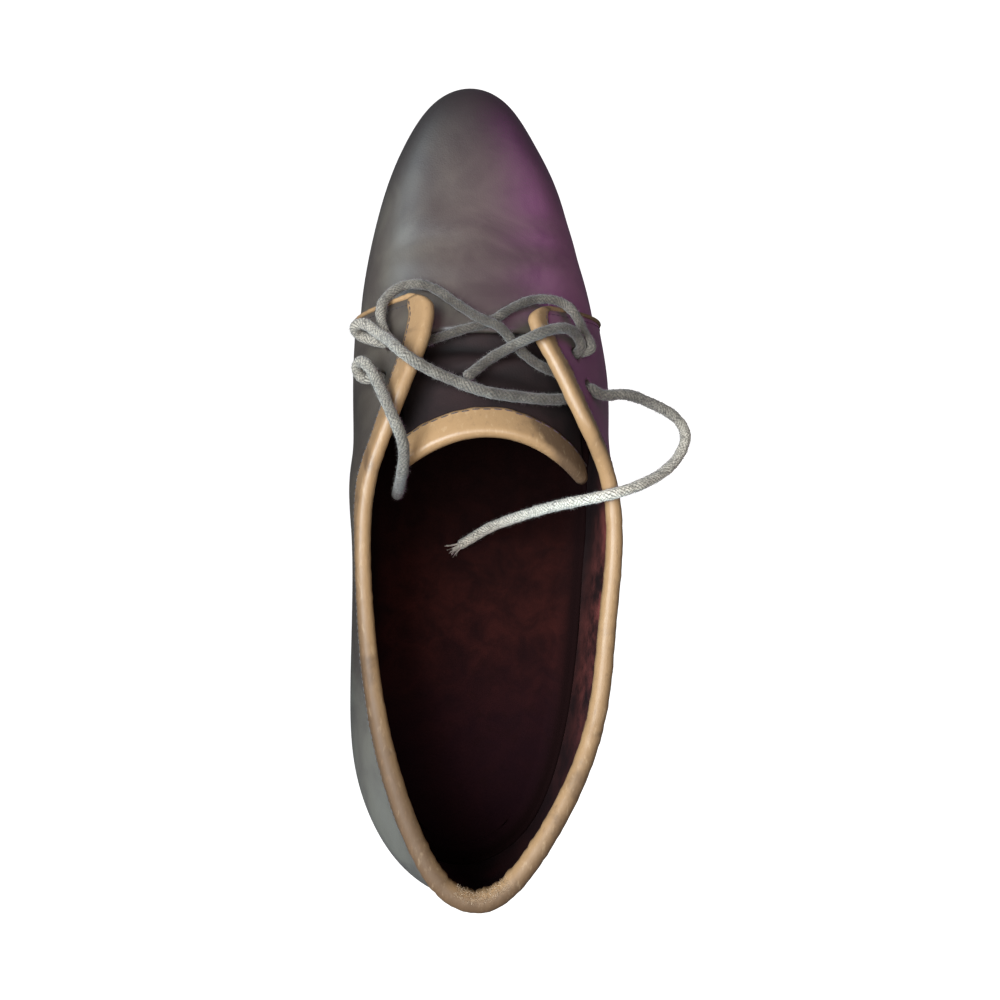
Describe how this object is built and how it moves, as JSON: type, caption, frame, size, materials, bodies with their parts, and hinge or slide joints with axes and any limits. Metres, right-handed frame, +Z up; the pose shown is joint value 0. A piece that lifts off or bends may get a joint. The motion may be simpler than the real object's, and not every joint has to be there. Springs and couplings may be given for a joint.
{
  "type": "derby shoe",
  "caption": "Right plain-toe derby shoe: hollow leather upper with open lacing, rolled tan collar and tongue edges, thin sole and low block heel.",
  "frame": {"origin": "middle of the shoe's box on the floor, with the two free lace ends left out", "axes": "+Y towards the toe, +X towards the outer side of the foot, +Z up from the floor"},
  "size_m": [0.1236, 0.2969, 0.0882],
  "materials": {
    "upper_leather": "smooth waxed leather, satin",
    "edge_leather": "rolled tan leather, worn",
    "lining": "dark plum lining, matt",
    "sole": "dark, matt",
    "lace": "waxed cotton cord, grey"
  },
  "bodies": {
    "root": {"upper": "upper_leather", "collar_edge": "edge_leather", "tongue": "upper_leather", "tongue_edge": "edge_leather", "insole": "lining", "outsole": "sole", "heel": "sole", "lace_bars": "lace", "lace_end_outer": "lace", "lace_end_inner": "lace"}
  },
  "joints": []
}
